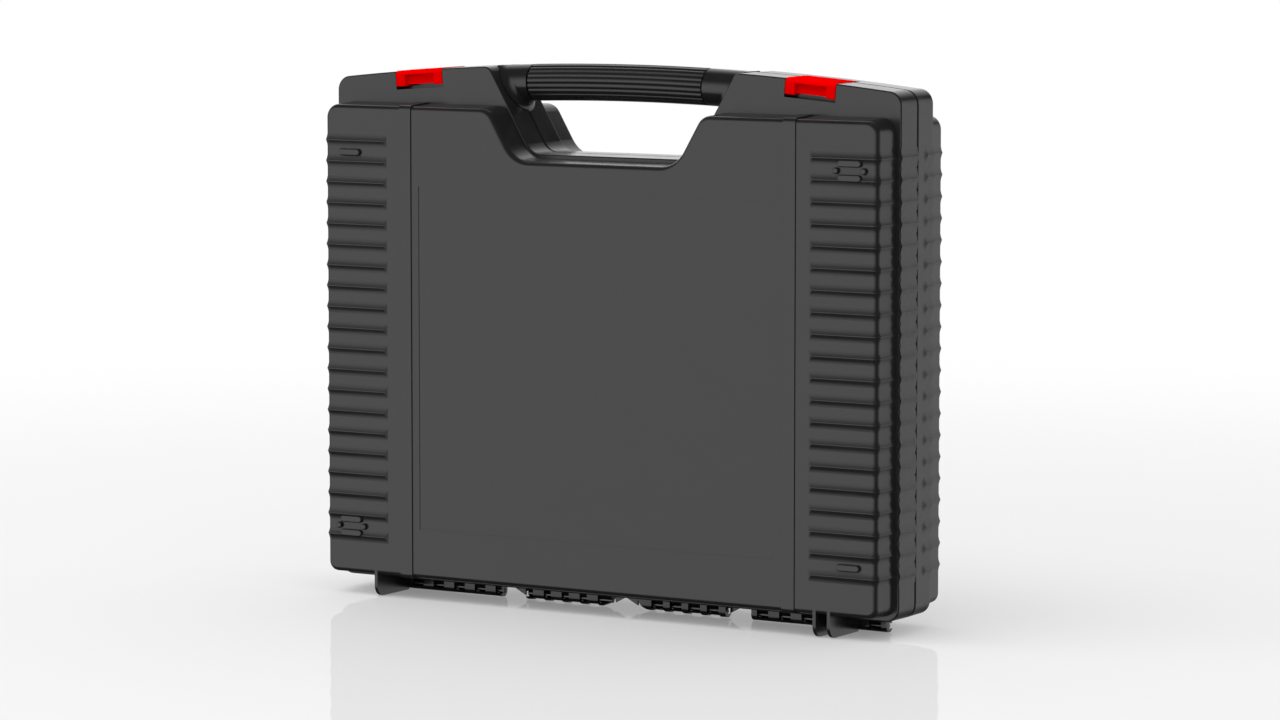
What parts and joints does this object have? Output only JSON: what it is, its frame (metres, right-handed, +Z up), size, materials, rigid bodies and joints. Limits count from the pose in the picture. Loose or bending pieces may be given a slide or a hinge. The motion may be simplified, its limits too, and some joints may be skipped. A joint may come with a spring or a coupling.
{
  "type": "hard transport case",
  "caption": "Moulded hard case: hinged half shells with ribbed edges, a notch under a round ribbed handle, and red snap latches.",
  "frame": {"origin": "middle of the footprint, on the surface that the fins under the case stand on", "axes": "+X to the right along the front, -Y out of the lid's face, +Z up from the hinge side to the handle"},
  "size_m": [0.4022, 0.084, 0.3341],
  "materials": {
    "shell_plastic": "fine grained dark grey polypropylene",
    "latch_plastic": "bright red, smooth",
    "handle_plastic": "smooth dark grey",
    "grip_plastic": "ribbed dark grey",
    "pin_steel": "bright drawn steel"
  },
  "bodies": {
    "base": {"rear_shell": "shell_plastic", "latch_pin_left": "pin_steel", "latch_pin_right": "pin_steel", "hinge_pin_outer_left": "pin_steel", "hinge_pin_inner_left": "pin_steel", "hinge_pin_inner_right": "pin_steel", "hinge_pin_outer_right": "pin_steel", "handle_end_left": "handle_plastic", "handle_end_right": "handle_plastic", "handle_bar": "handle_plastic", "handle_grip": "grip_plastic", "handle_screws": "pin_steel"},
    "lid": {"front_shell": "shell_plastic"},
    "left_latch": {"latch_left": "latch_plastic"},
    "right_latch": {"latch_right": "latch_plastic"}
  },
  "joints": [
    {"name": "lid_hinge", "type": "hinge", "parent": "base", "child": "lid", "pos_m": [0, 0, 0.004], "axis": [1, 0, 0], "range_deg": [0, 180]},
    {"name": "left_latch_pivot", "type": "hinge", "parent": "base", "child": "left_latch", "pos_m": [-0.13888, 0.0052, 0.32444], "axis": [-0.9969, 0, -0.0792], "range_deg": [0, 90]},
    {"name": "right_latch_pivot", "type": "hinge", "parent": "base", "child": "right_latch", "pos_m": [0.13888, 0.0052, 0.32444], "axis": [-0.9969, 0, 0.0792], "range_deg": [0, 90]}
  ]
}
